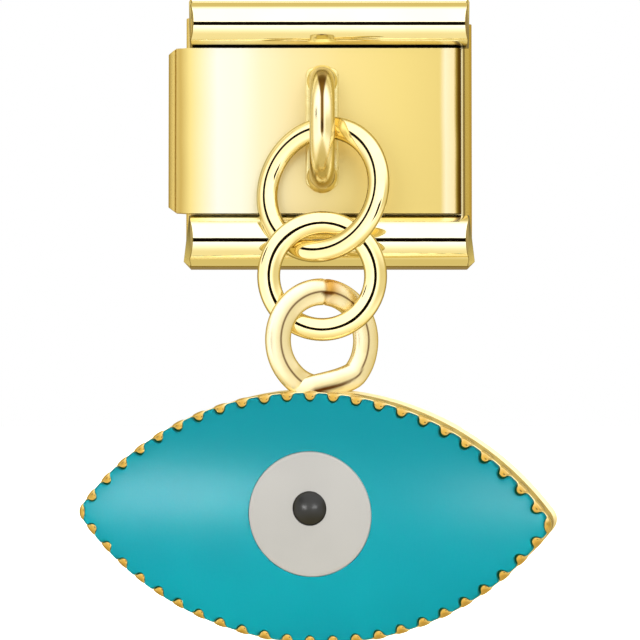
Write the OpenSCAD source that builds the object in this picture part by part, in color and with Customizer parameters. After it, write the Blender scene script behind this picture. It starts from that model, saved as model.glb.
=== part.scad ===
// Bracelet link with a hanging eye charm.
// The origin is the centre of the link's flat back. X runs along the bracelet,
// Z runs up across it, and the decorated front faces -Y.

/* [Link] */
// Length of the face plate and rails along the bracelet
link_len = 9.8; // [9:0.1:10.5]
// Height of the face plate between the rails
plate_h = 5.54; // [5:0.02:5.54]
// Thickness of the face plate
plate_t = 0.45; // [0.35:0.05:0.6]
// Sideways offset of the plate to the left and of the rails to the right
stagger = 0.24; // [0:0.02:0.3]
// Width of one rail across the bracelet
rail_w = 1.75; // [1.6:0.05:1.8]
// Distance from the link's middle to each rail's centre line
rail_z = 3.675; // [3.6:0.025:3.75]
// Length that the sloping end cut takes off a rail's crest
rail_cut = 0.36; // [0.2:0.02:0.5]

/* [Sleeves] */
// Depth of each folded sleeve, front to back
sleeve_d = 1.3; // [1.3:0.02:1.4]
// Thickness of the sleeves' sheet
sheet_t = 0.18; // [0.14:0.02:0.18]
// Gap between the front and rear sleeves
sleeve_gap = 0.08; // [0.06:0.01:0.1]
// Length of the front sleeve along the bracelet
front_sleeve_len = 9.38; // [9:0.02:9.5]
// Length of the rear sleeve along the bracelet
rear_sleeve_len = 9.34; // [8.6:0.02:9.4]
// Height of both sleeves across the bracelet
sleeve_h = 7.7; // [7.4:0.1:7.7]

/* [Bows and springs] */
// Diameter of the side bows' wire
bow_wire_d = 0.36; // [0.3:0.02:0.36]
// Distance from the link's middle to each bow's legs
bow_x = 2.6; // [2.2:0.1:2.8]
// Distance from a bow's front leg to its rear leg
bow_span = 1.4; // [1.36:0.02:1.4]
// Length of a bow's leg inside its sleeve
bow_leg = 2.6; // [2:0.1:2.8]
// Thickness of the leaf springs
leaf_t = 0.1; // [0.06:0.02:0.1]
// Width of the leaf springs across the bracelet
leaf_w = 3; // [2:0.5:4]

/* [Bail] */
// Diameter of the bail's wire
bail_wire_d = 0.83; // [0.7:0.01:0.85]
// Outer diameter of the bail's half circle
bail_od = 4.03; // [3.9:0.01:4.1]
// Length of the bail's straight legs in front of the plate
bail_leg = 0.3; // [0.2:0.05:0.4]
// Diameter of the solder fillet round each foot
bail_foot_d = 1.13; // [1:0.01:1.2]

/* [Rings] */
// Outer diameter of the upper ring
upper_ring_od = 4.9; // [4.85:0.01:4.95]
// Outer diameter of the lower ring
lower_ring_od = 4.25; // [4.2:0.01:4.3]
// Outer diameter of the charm's loop
loop_od = 4.05; // [4:0.01:4.1]
// Depth of the rings' oval wire, along each ring's axis
wire_depth = 0.48; // [0.4:0.01:0.48]
// Width of the ring wire, seen face on
wire_w = 0.75; // [0.7:0.01:0.75]
// Width of the loop's wire, seen face on
loop_wire_w = 0.88; // [0.8:0.01:0.9]
// Turn of the upper ring, right side forwards
upper_ring_turn = 28; // [28:1:29]
// Turn of the charm's loop, left side forwards
loop_turn = 25; // [25:1:27]
// Outward lean of the upper ring
upper_ring_lean = 10; // [9:1:11]

/* [Charm] */
// Radius of the two arcs that outline the eye
eye_arc_r = 9.75; // [9.5:0.05:10.3]
// Height of the eye
eye_h = 8.2; // [8:0.1:8.4]
// Radius of the eye's rounded corners
eye_tip_r = 0.5; // [0.4:0.05:0.6]
// Depth of the tray's wall
tray_d = 1.8; // [1.5:0.1:2]
// Thickness of the tray's floor
tray_floor = 0.5; // [0.4:0.05:0.6]
// Thickness of the tray's wall, bezel strip included
tray_wall = 0.3; // [0.26:0.02:0.34]
// Thickness of the bezel strip
strip_t = 0.1; // [0.08:0.01:0.12]
// Height of the bezel strip
strip_h = 0.9; // [0.7:0.1:1.2]
// Rise of the enamel from its edge to its middle
enamel_rise = 0.6; // [0.4:0.05:0.7]
// Teeth along each of the eye's two edges
edge_teeth = 23; // [19:2:25]
// Radius of one tooth
tooth_r = 0.19; // [0.16:0.01:0.2]
// Diameter of the white of the eye
white_d = 4.07; // [3.8:0.01:4.2]
// Offset of the white to the right of the eye's middle
white_x = 0.12; // [-0.2:0.01:0.2]
// Height of the white above the eye's middle
white_lift = 0.2; // [0:0.05:0.25]
// Diameter of the pupil
pupil_d = 1.1; // [0.9:0.05:1.3]
// Offset of the charm to the left of its loop
charm_shift = 0.235; // [0:0.005:0.3]
// Turn of the charm, right side forwards
charm_turn = 13; // [10:1:16]
// Lean of the charm, top forwards
charm_lean = 5; // [3:1:6]

/* [Hidden] */
$fn = 64;

steel = [0.80, 0.80, 0.82];
sleeve_gold = [0.90, 0.78, 0.42];
gold = [0.93, 0.82, 0.45];
rose_gold = [0.95, 0.84, 0.56];
teal = [0.09, 0.61, 0.67];
bone = [0.81, 0.81, 0.79];
jet = [0.08, 0.08, 0.08];
big = 40;                     // larger than any piece
skin = 0.02;                  // fine gap left where two pieces lie against each other

// Depths of the link's layers, measured forwards from the flat back
front_sleeve_y = sleeve_d + sleeve_gap;
plate_y = front_sleeve_y + sleeve_d;
face_y = plate_y + plate_t;
rail_rise = 0.5;              // how far the rails stand out past the face plate
rail_crest_y = face_y + rail_rise;
rail_skirt_y = 1.15;
rail_skirt_t = 0.2;
sleeve_corner_r = 0.3;
front_sleeve_x = 0.12;        // the front sleeve's middle, to the right of the link's
seam_w = 0.1;
rear_sleeve_edge = 5.12;      // distance from the middle to the rear sleeve's right edge
rear_sleeve_x = rear_sleeve_edge - rear_sleeve_len / 2;

// Bows: the front legs turn in the front sleeve, the rear legs float
bow_leg_gap = 0.08;           // from a front leg to the sleeve's wall
bow_crown_gap = 0.07;         // from a bow's crown to the sleeves' ends
bow_front_y = front_sleeve_y + sheet_t + bow_wire_d / 2 + bow_leg_gap;
bow_crown_z = sleeve_h / 2 + bow_wire_d / 2 + bow_crown_gap;
bow_bend_r = 0.34;
leaf_half_len = 3.3;
front_leaf_sag = 0.24;
rear_leaf_sag = 0.03;

// Chain heights, measured from the link's middle
bail_z = 0.05;
bail_r = (bail_od - bail_wire_d) / 2;
upper_ring_z = -2.08;
lower_ring_z = -4.95;
loop_z = -7.05;
ring_stand_off = 1.4;         // from the face plate to the upper ring's middle
ring_contact_z = 1.59;        // from the upper ring's middle down to where the lower ring hangs
upper_ring_y = face_y + ring_stand_off;
chain_y = upper_ring_y + ring_contact_z * tan(upper_ring_lean);
upper_ring_r = (upper_ring_od - wire_w) / 2;
lower_ring_r = (lower_ring_od - wire_w) / 2;
loop_r = (loop_od - loop_wire_w) / 2;

// Eye outline: two arcs whose centres lie above and below the middle
eye_arc_z = eye_arc_r - eye_h / 2;
eye_tip_x = sqrt(pow(eye_arc_r - eye_tip_r, 2) - pow(eye_arc_z, 2));
eye_join_x = eye_tip_x * eye_arc_r / (eye_arc_r - eye_tip_r);
eye_half_angle = asin(eye_join_x / eye_arc_r);
eye_top_z = -8.72;
eye_z = eye_top_z - eye_h / 2 * cos(charm_lean);
eye_y = chain_y - eye_h / 2 * sin(charm_lean);
tray_back = -tray_d / 2;
tray_front = tray_d / 2;
strip_foot = tray_front - strip_h;
strip_drop = 0.1;
strip_top = tray_front - strip_drop;  // the wall's and the strip's top, between the teeth
tooth_rise = 0.16;            // how far the teeth stand out past the tray's depth
tooth_top = tray_front + tooth_rise;
tooth_root = 0.2;             // how far a tooth's proud part reaches down the strip
tooth_inset = 0.1;            // how far a tooth's centre lies inside the outline
tooth_proud = 0.04;           // how far the teeth stand out past the outline
enamel_lap = 0.02;            // how far the enamel's edge stays inside the outline
dome_cross_r = 14;            // roundness of the enamel across its height
dome_long_r = 52;             // roundness of the enamel along its length
dome_edge = 0.03;             // depth of the enamel's edge past the tray's depth
dome_top = tray_front + dome_edge + enamel_rise;
pupil_lift = 0.2;             // height of the pupil above the middle of the white
pupil_rise = 0.16;

// A rectangle with round corners, centred
module round_rect(w, h, r) {
    square([w - 2 * r, h], center = true);
    square([w, h - 2 * r], center = true);
    for (sx = [-1, 1], sy = [-1, 1])
        translate([sx * (w / 2 - r), sy * (h / 2 - r)]) circle(r);
}

// Draws a flat XY outline as a bar that runs along Z, front of the outline at -Y
module bar_z(h) {
    translate([0, 0, -h / 2]) linear_extrude(h) children();
}

// Draws a flat outline of (X, Z) as a slab from depth y0 to depth y1, front at -Y
module slab(y0, y1) {
    translate([0, -y0, 0]) rotate([90, 0, 0]) linear_extrude(y1 - y0) children();
}

// Oval wire section from four tangent arcs, half width a and half depth b
module oval(a, b) {
    r = b * 0.6;
    big_r = (pow(a - r, 2) + b * b - r * r) / (2 * (b - r));
    join_x = (a - r) * big_r / (big_r - r);
    intersection() {
        translate([0, big_r - b]) circle(big_r);
        translate([0, b - big_r]) circle(big_r);
        square([2 * join_x, 4 * b], center = true);
    }
    for (s = [-1, 1]) translate([s * (a - r), 0]) circle(r);
}

// A ring of oval wire standing in the XZ plane
module oval_ring(r, w) {
    rotate([90, 0, 0]) rotate_extrude($fn = 96) translate([r, 0]) oval(w / 2, wire_depth / 2);
}

// Places a chain piece: its depth and height, its turn and its outward lean
module hang(y, z, turn, lean) {
    translate([0, -y, z]) rotate([-lean, 0, 0]) rotate([0, 0, -turn]) children();
}

// A folded sheet sleeve, open at its upper and lower ends, with its seam inside
module folded_sleeve(len, seam_side) {
    bar_z(sleeve_h) difference() {
        round_rect(len, sleeve_d, sleeve_corner_r);
        round_rect(len - 2 * sheet_t, sleeve_d - 2 * sheet_t, sleeve_corner_r - sheet_t);
        translate([0, seam_side * sleeve_d / 2]) square([seam_w, 3 * sheet_t], center = true);
    }
}

module front_sleeve() {
    color(sleeve_gold) translate([front_sleeve_x, -front_sleeve_y - sleeve_d / 2, 0])
        folded_sleeve(front_sleeve_len, 1);
}

module rear_sleeve() {
    color(sleeve_gold) translate([rear_sleeve_x, -sleeve_d / 2, 0])
        folded_sleeve(rear_sleeve_len, -1);
}

// The plate's ends are rolled back, and its left corners are clipped
module face_plate() {
    roll_r = 0.22;
    clip_x = 0.3;
    clip_z = 0.22;
    left = -link_len / 2;
    color(gold) translate([-stagger, 0, 0]) intersection() {
        translate([0, -face_y, 0]) bar_z(plate_h) {
            translate([left, roll_r]) square([link_len, plate_t - roll_r]);
            translate([left + roll_r, 0]) square([link_len - 2 * roll_r, plate_t]);
            for (end = [-1, 1]) translate([end * (link_len / 2 - roll_r), roll_r]) circle(roll_r);
        }
        slab(plate_y - 1, face_y + 1) polygon([
            [left, clip_z - plate_h / 2], [left + clip_x, -plate_h / 2],
            [link_len / 2, -plate_h / 2], [link_len / 2, plate_h / 2],
            [left + clip_x, plate_h / 2], [left, plate_h / 2 - clip_z]]);
    }
}

// A rail's section: half round on top, with a skirt down its outer side
module rail_section() {
    r = rail_w / 2;
    intersection() {
        translate([rail_crest_y - r, 0]) circle(r);
        translate([plate_y + big / 2, 0]) square([big, big], center = true);
    }
    translate([rail_skirt_y, r - rail_skirt_t])
        square([rail_crest_y - r - rail_skirt_y, rail_skirt_t]);
}

// A half-round rail with sloping end cuts; side is 1 for the upper rail, -1 for the lower
module rail(side) {
    slope = atan(rail_cut / (rail_crest_y - plate_y));
    color(gold) translate([stagger, 0, side * rail_z]) difference() {
        rotate([0, 0, -90]) rotate([90, 0, 0]) mirror([0, side < 0 ? 1 : 0, 0])
            translate([0, 0, -link_len / 2]) linear_extrude(link_len) rail_section();
        for (end = [-1, 1])
            translate([end * link_len / 2, -plate_y, 0]) rotate([0, 0, -end * slope])
                translate([end * big / 2, 0, 0]) cube(big, center = true);
    }
}

module upper_rail() rail(1);
module lower_rail() rail(-1);

// U of wire standing out from the plate, its plane across the bracelet
module bail_wire() {
    translate([0, -face_y, bail_z]) {
        translate([0, -bail_leg, 0]) rotate([0, 90, 0]) rotate([0, 0, 180])
            rotate_extrude(angle = 180) translate([bail_r, 0]) circle(bail_wire_d / 2);
        for (side = [-1, 1]) translate([0, 0, side * bail_r]) rotate([90, 0, 0])
            cylinder(h = bail_leg, d = bail_wire_d);
    }
}

module bail() {
    color(gold) bail_wire();
}

// Solder fillets that flare round the bail's two feet
module bail_solder() {
    fillet_h = 0.42;
    edge = 0.02;
    color(gold) difference() {
        for (side = [-1, 1])
            translate([0, -face_y, bail_z + side * bail_r]) rotate([90, 0, 0])
                cylinder(h = fillet_h, d1 = bail_foot_d, d2 = bail_wire_d + 2 * edge);
        bail_wire();
    }
}

// A bowed leaf that lies inside a sleeve, its middle against the sleeve's wall
module leaf(wall_y, sag) {
    r = (leaf_half_len * leaf_half_len + sag * sag) / (2 * sag);
    color(steel) translate([0, -wall_y, 0]) bar_z(leaf_w) intersection() {
        difference() {
            translate([0, r]) circle(r, $fn = 128);
            translate([0, r]) circle(r - leaf_t, $fn = 128);
        }
        square([2 * leaf_half_len, 4 * sag + 4 * leaf_t], center = true);
    }
}

module front_spring() leaf(plate_y - sheet_t - skin, front_leaf_sag);
module rear_spring()
    translate([rear_sleeve_x, 0, 0]) leaf(sleeve_d - sheet_t - skin, rear_leaf_sag);

// A U of round wire: two legs inside the sleeves, joined past the sleeves' ends
module bow(x, side) {
    crown_len = bow_span - 2 * bow_bend_r;
    leg_len = bow_leg - bow_bend_r;
    color(steel) translate([x, -bow_front_y, side * bow_crown_z]) mirror([0, 0, side > 0 ? 1 : 0]) {
        for (leg = [0, 1]) translate([0, leg * bow_span, bow_bend_r])
            cylinder(h = leg_len, d = bow_wire_d);
        translate([0, bow_bend_r, 0]) rotate([-90, 0, 0]) cylinder(h = crown_len, d = bow_wire_d);
        translate([0, bow_bend_r, bow_bend_r]) bow_bend();
        translate([0, bow_span - bow_bend_r, bow_bend_r]) mirror([0, 1, 0]) bow_bend();
    }
}

// Quarter bend from a leg that rises along Z to a crown that runs along Y
module bow_bend() {
    rotate([0, -90, 0]) rotate([0, 0, 180]) rotate_extrude(angle = 90)
        translate([bow_bend_r, 0]) circle(bow_wire_d / 2);
}

module upper_left_bow() bow(-bow_x, 1);
module upper_right_bow() bow(bow_x, 1);
module lower_left_bow() bow(-bow_x, -1);
module lower_right_bow() bow(bow_x, -1);

module upper_ring() {
    color(gold) hang(upper_ring_y, upper_ring_z, upper_ring_turn, upper_ring_lean)
        oval_ring(upper_ring_r, wire_w);
}

module lower_ring() {
    color(gold) hang(chain_y, lower_ring_z, 0, 0) oval_ring(lower_ring_r, wire_w);
}

module loop_wire() {
    hang(chain_y, loop_z, -loop_turn, 0) oval_ring(loop_r, loop_wire_w);
}

// Places a piece of the charm, drawn with its middle at the origin and facing -Y
module place_charm() {
    translate([-charm_shift, 0, 0]) hang(eye_y, eye_z, charm_turn, -charm_lean) children();
}

// The eye's outline, drawn in by an inset all the way round
module eye_outline(inset) {
    intersection() {
        translate([0, eye_arc_z]) circle(eye_arc_r - inset, $fn = 128);
        translate([0, -eye_arc_z]) circle(eye_arc_r - inset, $fn = 128);
        square([2 * eye_join_x - 2 * inset, eye_h], center = true);
    }
    if (inset < eye_tip_r)
        for (s = [-1, 1]) translate([s * eye_tip_x, 0]) circle(eye_tip_r - inset);
}

// The loop's foot is trimmed flush with the tray's wall
module charm_loop() {
    color(rose_gold) difference() {
        loop_wire();
        place_charm() slab(tray_back - 1, tray_front + 1) eye_outline(0);
    }
}

// A sheath of solder that flares round the loop just above the tray's wall
module loop_solder() {
    flare = 0.12;
    rise = 0.25;
    depth_below = 0.3;
    color(rose_gold) difference() {
        intersection() {
            hang(chain_y, loop_z, -loop_turn, 0)
                rotate([90, 0, 0]) rotate_extrude($fn = 96)
                    translate([loop_r, 0]) oval(loop_wire_w / 2 + flare, wire_depth / 2 + flare);
            translate([0, -chain_y, eye_top_z + rise - big / 2]) cube(big, center = true);
        }
        place_charm() slab(tray_back - 1, tray_front + 1) eye_outline(0);
        loop_wire();
        // Nothing is left inside the tray's outline or below its top edge
        translate([0, -chain_y, eye_top_z - depth_below - big / 2]) cube(big, center = true);
    }
}

// A shallow tray: a flat floor and an upright wall, with a rebate for the bezel strip
module charm_tray() {
    color(gold) place_charm() difference() {
        union() {
            slab(tray_back, strip_foot) eye_outline(0);
            slab(tray_back, strip_top) eye_outline(strip_t);
        }
        slab(tray_back + tray_floor, tray_front + 1) eye_outline(tray_wall);
    }
}

// Round marks at every tooth's place along the two edges and at the two tips
module tooth_marks(r) {
    step = 2 * eye_half_angle / edge_teeth;
    line_r = eye_arc_r - tooth_inset;
    for (side = [-1, 1], i = [0 : edge_teeth - 1]) {
        turn = (i - (edge_teeth - 1) / 2) * step;
        translate([line_r * sin(turn), side * (line_r * cos(turn) - eye_arc_z)])
            circle(r, $fn = 24);
    }
    for (side = [-1, 1])
        translate([side * (eye_tip_x + eye_tip_r - tooth_inset), 0]) circle(r, $fn = 24);
}

// A thin strip round the tray's wall, whose teeth hold the enamel's edge
module tooth_bezel() {
    color(gold) place_charm() {
        slab(strip_foot, strip_top) difference() {
            eye_outline(0);
            eye_outline(strip_t);
        }
        slab(strip_top - tooth_root, strip_top) intersection() {
            difference() {
                eye_outline(-tooth_proud);
                eye_outline(strip_t);
            }
            tooth_marks(tooth_r);
        }
        slab(strip_top, tooth_top) intersection() {
            eye_outline(-tooth_proud);
            tooth_marks(tooth_r);
        }
    }
}

// The double-curved body whose front is the enamel's dome
module dome_body() {
    translate([0, -dome_top + dome_long_r, 0])
        rotate([0, 0, -90 - 20])
        rotate_extrude(angle = 40, $fn = 180) intersection() {
            translate([dome_long_r - dome_cross_r, 0]) circle(dome_cross_r, $fn = 128);
            translate([dome_long_r - 3, -6]) square([4, 12]);
        }
}

// The white's round outline, with its offset from the eye's middle
module white_outline() {
    translate([white_x, white_lift]) circle(white_d / 2);
}

// Fired glass that fills the tray and laps over its wall between the teeth
module enamel() {
    color(teal) place_charm() difference() {
        intersection() {
            dome_body();
            union() {
                slab(tray_back + tray_floor, tray_front + 1) eye_outline(tray_wall);
                slab(strip_top, tray_front + 1) eye_outline(enamel_lap);
            }
        }
        slab(strip_top - skin, tray_front + 1) tooth_marks(tooth_r);
        slab(-big, big) white_outline();
    }
}

// White glass disc, flush with the dome, with a seat for the pupil
module eye_white() {
    color(bone) place_charm() difference() {
        intersection() {
            dome_body();
            slab(tray_back + tray_floor, tray_front + 2) white_outline();
        }
        slab(tray_front, tray_front + 2) pupil_outline();
    }
}

module pupil_outline() {
    translate([white_x, white_lift + pupil_lift]) circle(pupil_d / 2);
}

// Black cabochon with a low round top
module pupil() {
    cap_r = (pow(pupil_d / 2, 2) + pupil_rise * pupil_rise) / (2 * pupil_rise);
    color(jet) place_charm() intersection() {
        slab(tray_front, dome_top + 1) pupil_outline();
        translate([white_x, cap_r - dome_top - pupil_rise, white_lift + pupil_lift])
            sphere(cap_r, $fn = 96);
    }
}

front_sleeve();
face_plate();
upper_rail();
lower_rail();
bail();
bail_solder();
front_spring();
rear_sleeve();
rear_spring();
upper_left_bow();
upper_right_bow();
lower_left_bow();
lower_right_bow();
upper_ring();
lower_ring();
charm_loop();
loop_solder();
charm_tray();
tooth_bezel();
enamel();
eye_white();
pupil();
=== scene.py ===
import math

import bmesh
import bpy
from mathutils import Matrix, Vector


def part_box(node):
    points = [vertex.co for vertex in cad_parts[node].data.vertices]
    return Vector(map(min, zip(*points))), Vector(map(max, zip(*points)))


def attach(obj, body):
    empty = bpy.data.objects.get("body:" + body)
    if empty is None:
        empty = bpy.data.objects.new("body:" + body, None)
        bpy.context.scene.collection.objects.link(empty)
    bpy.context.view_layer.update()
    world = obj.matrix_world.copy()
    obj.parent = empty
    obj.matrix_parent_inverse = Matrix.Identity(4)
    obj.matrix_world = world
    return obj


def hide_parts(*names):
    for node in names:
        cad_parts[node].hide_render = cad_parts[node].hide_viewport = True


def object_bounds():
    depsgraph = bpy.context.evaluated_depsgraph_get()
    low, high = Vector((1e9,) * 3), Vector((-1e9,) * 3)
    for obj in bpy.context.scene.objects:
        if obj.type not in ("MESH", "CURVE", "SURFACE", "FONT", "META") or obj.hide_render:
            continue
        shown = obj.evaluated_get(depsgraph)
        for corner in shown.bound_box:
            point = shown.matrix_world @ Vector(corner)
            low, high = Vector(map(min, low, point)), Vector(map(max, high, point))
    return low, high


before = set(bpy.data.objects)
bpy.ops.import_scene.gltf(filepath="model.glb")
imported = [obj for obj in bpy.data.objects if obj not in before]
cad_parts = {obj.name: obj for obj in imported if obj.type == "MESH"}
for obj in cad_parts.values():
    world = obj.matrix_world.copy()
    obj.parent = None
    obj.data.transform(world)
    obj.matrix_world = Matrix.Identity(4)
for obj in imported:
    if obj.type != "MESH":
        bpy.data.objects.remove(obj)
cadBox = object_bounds()
mm = 0.001


# Wraps a node's output, so that shader maths is written as ordinary maths
class Signal:
    def __init__(self, graph, socket):
        self.graph = graph
        self.socket = socket

    def maths(self, operation, *others):
        return self.graph.sum(operation, self, *others)

    def __add__(self, other):
        return self.maths("ADD", other)

    def __radd__(self, other):
        return self.maths("ADD", other)

    def __sub__(self, other):
        return self.maths("SUBTRACT", other)

    def __mul__(self, other):
        return self.maths("MULTIPLY", other)

    def __truediv__(self, other):
        return self.maths("DIVIDE", other)


# A node tree being filled: add() makes any node, and the others are short for common ones
class Graph:
    def __init__(self, tree):
        self.tree = tree
        tree.nodes.clear()

    def add(self, kind, settings=None, sockets=None, out=0):
        node = self.tree.nodes.new(kind)
        for key, value in (settings or {}).items():
            if key == "stops":
                self.fillRamp(node.color_ramp, value)
            else:
                setattr(node, key, value)
        for key, value in (sockets or {}).items():
            if isinstance(value, Signal):
                self.tree.links.new(value.socket, node.inputs[key])
            else:
                node.inputs[key].default_value = value
        return Signal(self, node.outputs[out]) if len(node.outputs) else node

    def fillRamp(self, ramp, stops):
        while len(ramp.elements) < len(stops):
            ramp.elements.new(0.5)
        for element, (place, colour) in zip(ramp.elements, stops):
            element.position = place
            element.color = (*colour, 1)

    def sum(self, operation, *terms):
        return self.add("ShaderNodeMath", {"operation": operation}, dict(enumerate(terms)))

    def mixColour(self, factor, first, second):
        values = {0: factor, 6: padded(first), 7: padded(second)}
        return self.add("ShaderNodeMix", {"data_type": "RGBA"}, values, 2)

    def step(self, value, low, high, start=0.0, end=1.0):
        sockets = {"Value": value, 1: low, 2: high, 3: start, 4: end}
        return self.add("ShaderNodeMapRange", {"interpolation_type": "SMOOTHSTEP"}, sockets)

    def place(self, stretch=(1, 1, 1)):
        spot = self.add("ShaderNodeTexCoord", out="Object")
        sockets = {0: spot, 1: [1000 * s for s in stretch]}
        return self.add("ShaderNodeVectorMath", {"operation": "MULTIPLY"}, sockets)

    def noise(self, spot, scale, detail):
        return self.add("ShaderNodeTexNoise", None, {"Vector": spot, "Scale": scale, "Detail": detail})

    def axis(self, spot, name):
        return self.add("ShaderNodeSeparateXYZ", None, {0: spot}, name)

    def bump(self, height):
        return self.add("ShaderNodeBump", None, {"Height": height, "Distance": mm})


def padded(colour):
    return colour if isinstance(colour, Signal) else (*colour, 1)


def newFinish(name):
    material = bpy.data.materials.new(name)
    material.use_nodes = True
    return material, Graph(material.node_tree)


def finishWith(graph, sockets):
    shader = graph.add("ShaderNodeBsdfPrincipled", None, sockets)
    graph.add("ShaderNodeOutputMaterial", None, {"Surface": shader})


print("finishes")


# What every plated finish shares: how much of a noise counts, and how wide its painted dark rim is
plating = {
    "cloudDetail": 3,
    "grainDetail": 4,
    "tone": (0.3, 0.7),
    "marks": (0.25, 0.75),
    "rimWidth": 0.28,
    "bendStart": 0.04,
}


# Polished gold plating: a faint cloudiness, fine polishing marks and a slow ripple, and where a look gives
# them, painted reflection bands at a bend, a painted dark rim along the outline and painted tints
def goldPlating(name, look):
    material, graph = newFinish(name)
    spot = graph.place()
    cloud = graph.noise(spot, look["cloudScale"], plating["cloudDetail"])
    grain = graph.noise(graph.place(look["brush"]), look["brushScale"], plating["grainDetail"])
    tone = graph.step(cloud, *plating["tone"])
    colour = graph.mixColour(tone, look["light"], look["deep"])
    # Painted reflections and painted shade: pale bands are painted reflections and dark bands painted shade
    # in the gaps, across the bent end, on its front only
    if "bend" in look:
        bend = look["bend"]
        along = (graph.axis(spot, "X") - bend["from"]) / bend["width"]
        shades = graph.add("ShaderNodeValToRGB", {"stops": bend["stops"]}, {0: along})
        front = graph.step(graph.axis(spot, "Y"), bend["behind"], bend["ahead"])
        colour = graph.mixColour(graph.step(along, 0.0, plating["bendStart"]) * front, colour, shades)
    # Painted shade: the colour turns to the rim colour where the surface turns away from the view, a painted
    # dark outline
    if "rim" in look:
        grazing = graph.add("ShaderNodeLayerWeight", None, {"Blend": 0.5}, "Facing")
        edge = graph.step(grazing, look["rimFrom"], look["rimFrom"] + plating["rimWidth"])
        colour = graph.mixColour(edge, colour, look["rim"])
    # Painted tints: painted shade and painted dark reflection lines that a mesh carries at its points
    for tint, shade in look.get("tints", {}).items():
        amount = graph.add("ShaderNodeAttribute", {"attribute_name": tint}, None, "Fac")
        colour = graph.mixColour(amount, colour, shade)
    marks = graph.step(grain, *plating["marks"])
    finishWith(graph, {
        "Base Color": colour,
        "Metallic": 1.0,
        "Roughness": look["rough"] + marks * look["roughSpread"],
        "Normal": graph.bump(cloud * look["ripple"] + marks * look["marks"]),
    })
    return material


# Tints are painted darker tones, painted shade and painted dark reflection lines, that a mesh carries as
# named amounts at its points; a rim colour is a painted dark outline
wireGold = goldPlating("wireGold", {
    "light": (0.99, 0.86, 0.50), "deep": (0.95, 0.80, 0.43),
    "cloudScale": 0.9, "brush": (1, 1, 1), "brushScale": 9, "ripple": 0.0012, "marks": 0.0002,
    "rough": 0.035, "roughSpread": 0.03, "rim": (0.40, 0.31, 0.07), "rimFrom": 0.32,
})
# The rails carry painted shade in the recess along the plate
railGold = goldPlating("railGold", {
    "light": (1.0, 0.93, 0.66), "deep": (0.99, 0.91, 0.62),
    "cloudScale": 0.5, "brush": (0.25, 2, 2), "brushScale": 8, "ripple": 0.0006, "marks": 0.0001,
    "rough": 0.03, "roughSpread": 0.03, "tints": {"crevice": (0.012, 0.006, 0.001)},
})
# Painted shade: a dark olive finish for the rails' bevelled edges, a painted dark line round the end facets
edgeShadeGold = goldPlating("edgeShadeGold", {
    "light": (0.34, 0.25, 0.06), "deep": (0.28, 0.20, 0.04),
    "cloudScale": 1.0, "brush": (1, 1, 1), "brushScale": 9, "ripple": 0.001, "marks": 0.0002,
    "rough": 0.22, "roughSpread": 0.05,
})
# The bail carries a painted dark reflection line along its crest, the tint named groove, and painted shade
# at its ends
bailGold = goldPlating("bailGold", {
    "light": (1.0, 0.90, 0.60), "deep": (0.98, 0.86, 0.53),
    "cloudScale": 0.8, "brush": (1, 1, 1), "brushScale": 9, "ripple": 0.001, "marks": 0.0002,
    "rough": 0.2, "roughSpread": 0.03, "rim": (0.46, 0.36, 0.09), "rimFrom": 0.4,
    "tints": {"groove": (0.14, 0.065, 0.006), "shaded": (0.50, 0.38, 0.10)},
})
# The loop carries a painted dark reflection line, the tint named seam, and painted warm shade beside its
# seam notch
loopGold = goldPlating("loopGold", {
    "light": (1.0, 0.90, 0.66), "deep": (0.98, 0.86, 0.58),
    "cloudScale": 1.2, "brush": (1, 1, 1), "brushScale": 9, "ripple": 0.003, "marks": 0.0004,
    "rough": 0.3, "roughSpread": 0.05, "rim": (0.70, 0.56, 0.18), "rimFrom": 0.32,
    "tints": {"blush": (0.62, 0.34, 0.07), "seam": (0.12, 0.04, 0.006)},
})
solderGold = goldPlating("solderGold", {
    "light": (0.84, 0.73, 0.36), "deep": (0.74, 0.62, 0.27),
    "cloudScale": 2.5, "brush": (1, 1, 1), "brushScale": 10, "ripple": 0.006, "marks": 0.001,
    "rough": 0.26, "roughSpread": 0.12,
})
trayGold = goldPlating("trayGold", {
    "light": (1.0, 0.91, 0.62), "deep": (0.98, 0.87, 0.54),
    "cloudScale": 0.8, "brush": (1, 1, 1), "brushScale": 7, "ripple": 0.004, "marks": 0.0008,
    "rough": 0.5, "roughSpread": 0.08,
})
# The teeth carry painted shade on their faces, golden brown, leaving the inner edge pale
toothGold = goldPlating("toothGold", {
    "light": (1.0, 0.90, 0.58), "deep": (0.96, 0.80, 0.42),
    "cloudScale": 3.0, "brush": (1, 1, 1), "brushScale": 12, "ripple": 0.004, "marks": 0.0006,
    "rough": 0.14, "roughSpread": 0.08, "tints": {"belly": (0.55, 0.34, 0.06)},
})
# The sleeves carry painted reflections and painted shade, bands of pale and dark, at their bent right ends
sleeveGold = goldPlating("sleeveGold", {
    "light": (0.93, 0.77, 0.37), "deep": (0.85, 0.68, 0.30),
    "cloudScale": 0.6, "brush": (0.06, 1, 1.6), "brushScale": 14, "ripple": 0.0006, "marks": 0.0006,
    "rough": 0.25, "roughSpread": 0.1,
    "bend": {
        "from": 4.6, "width": 0.4, "behind": -0.3, "ahead": -0.6,
        "stops": [
            (0.0, (0.10, 0.05, 0.004)),
            (0.05, (0.98, 0.93, 0.80)),
            (0.33, (0.98, 0.92, 0.78)),
            (0.39, (0.16, 0.11, 0.04)),
            (0.45, (0.30, 0.22, 0.08)),
            (0.49, (0.44, 0.33, 0.11)),
            (0.57, (0.40, 0.30, 0.09)),
            (0.61, (0.12, 0.08, 0.006)),
            (0.67, (0.12, 0.08, 0.006)),
            (0.72, (0.58, 0.43, 0.12)),
            (1.0, (0.66, 0.49, 0.14)),
        ],
    },
})
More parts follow.
